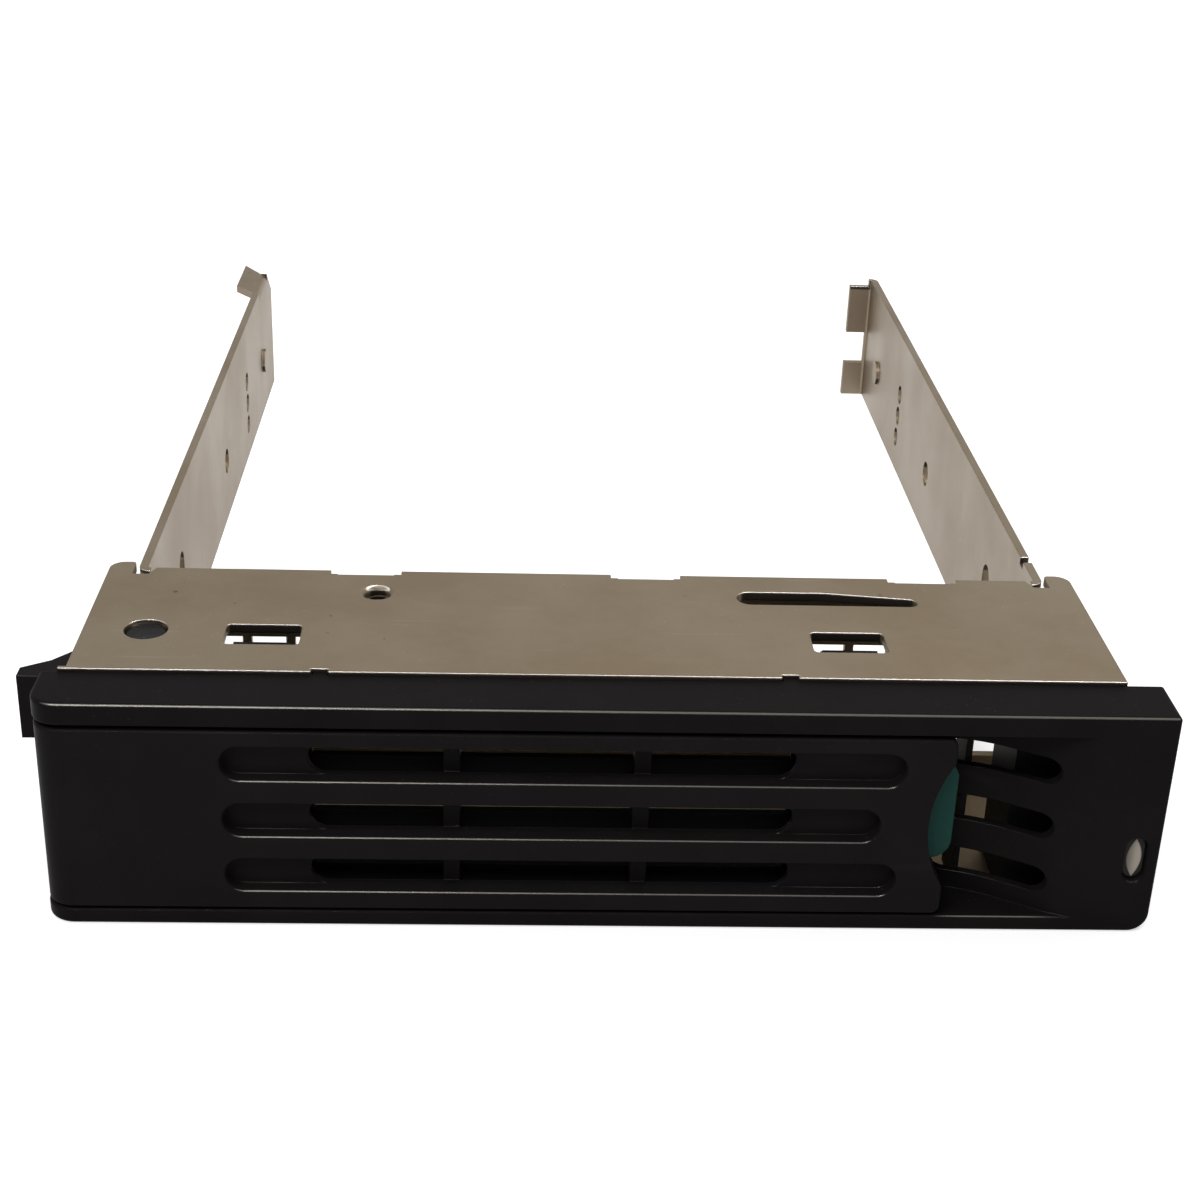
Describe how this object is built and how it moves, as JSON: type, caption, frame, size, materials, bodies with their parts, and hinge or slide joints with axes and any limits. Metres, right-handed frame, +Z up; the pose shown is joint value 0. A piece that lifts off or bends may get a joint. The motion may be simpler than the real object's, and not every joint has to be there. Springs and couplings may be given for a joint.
{
  "type": "hot swap drive caddy",
  "caption": "Folded sheet steel drive carrier with a moulded vented bezel, an ejector lever that swings out on a pin, and a sliding finger latch.",
  "frame": {"origin": "centre of the base plate's underside", "axes": "X to the right seen from the bezel, Y from the bezel to the rails' far ends, Z up"},
  "size_m": [0.1199, 0.154, 0.0266],
  "materials": {
    "plated_steel": "plated",
    "black_plastic": "moulded",
    "green_plastic": "moulded",
    "clear_plastic": "frosted",
    "dark_steel": "blackened",
    "spring_steel": "drawn"
  },
  "bodies": {
    "caddy": {"carrier_frame": "plated_steel", "bezel": "black_plastic", "pivot_pin": "dark_steel", "pin_clip": "spring_steel", "light_pipe": "clear_plastic"},
    "lever": {"lever": "black_plastic"},
    "latch": {"latch": "green_plastic", "latch_spring": "spring_steel"}
  },
  "joints": [
    {"name": "lever_swing", "type": "hinge", "parent": "caddy", "child": "lever", "pos_m": [-0.0486, -0.0033, 0.0136], "axis": [0, 0, -1], "range_deg": [0, 60]},
    {"name": "latch_slide", "type": "slide", "parent": "lever", "child": "latch", "axis": [-1, 0, 0], "range_m": [0, 0.002], "stiffness_N_per_m": 400, "springref_m": -0.001, "deforming": ["latch_spring"]}
  ]
}
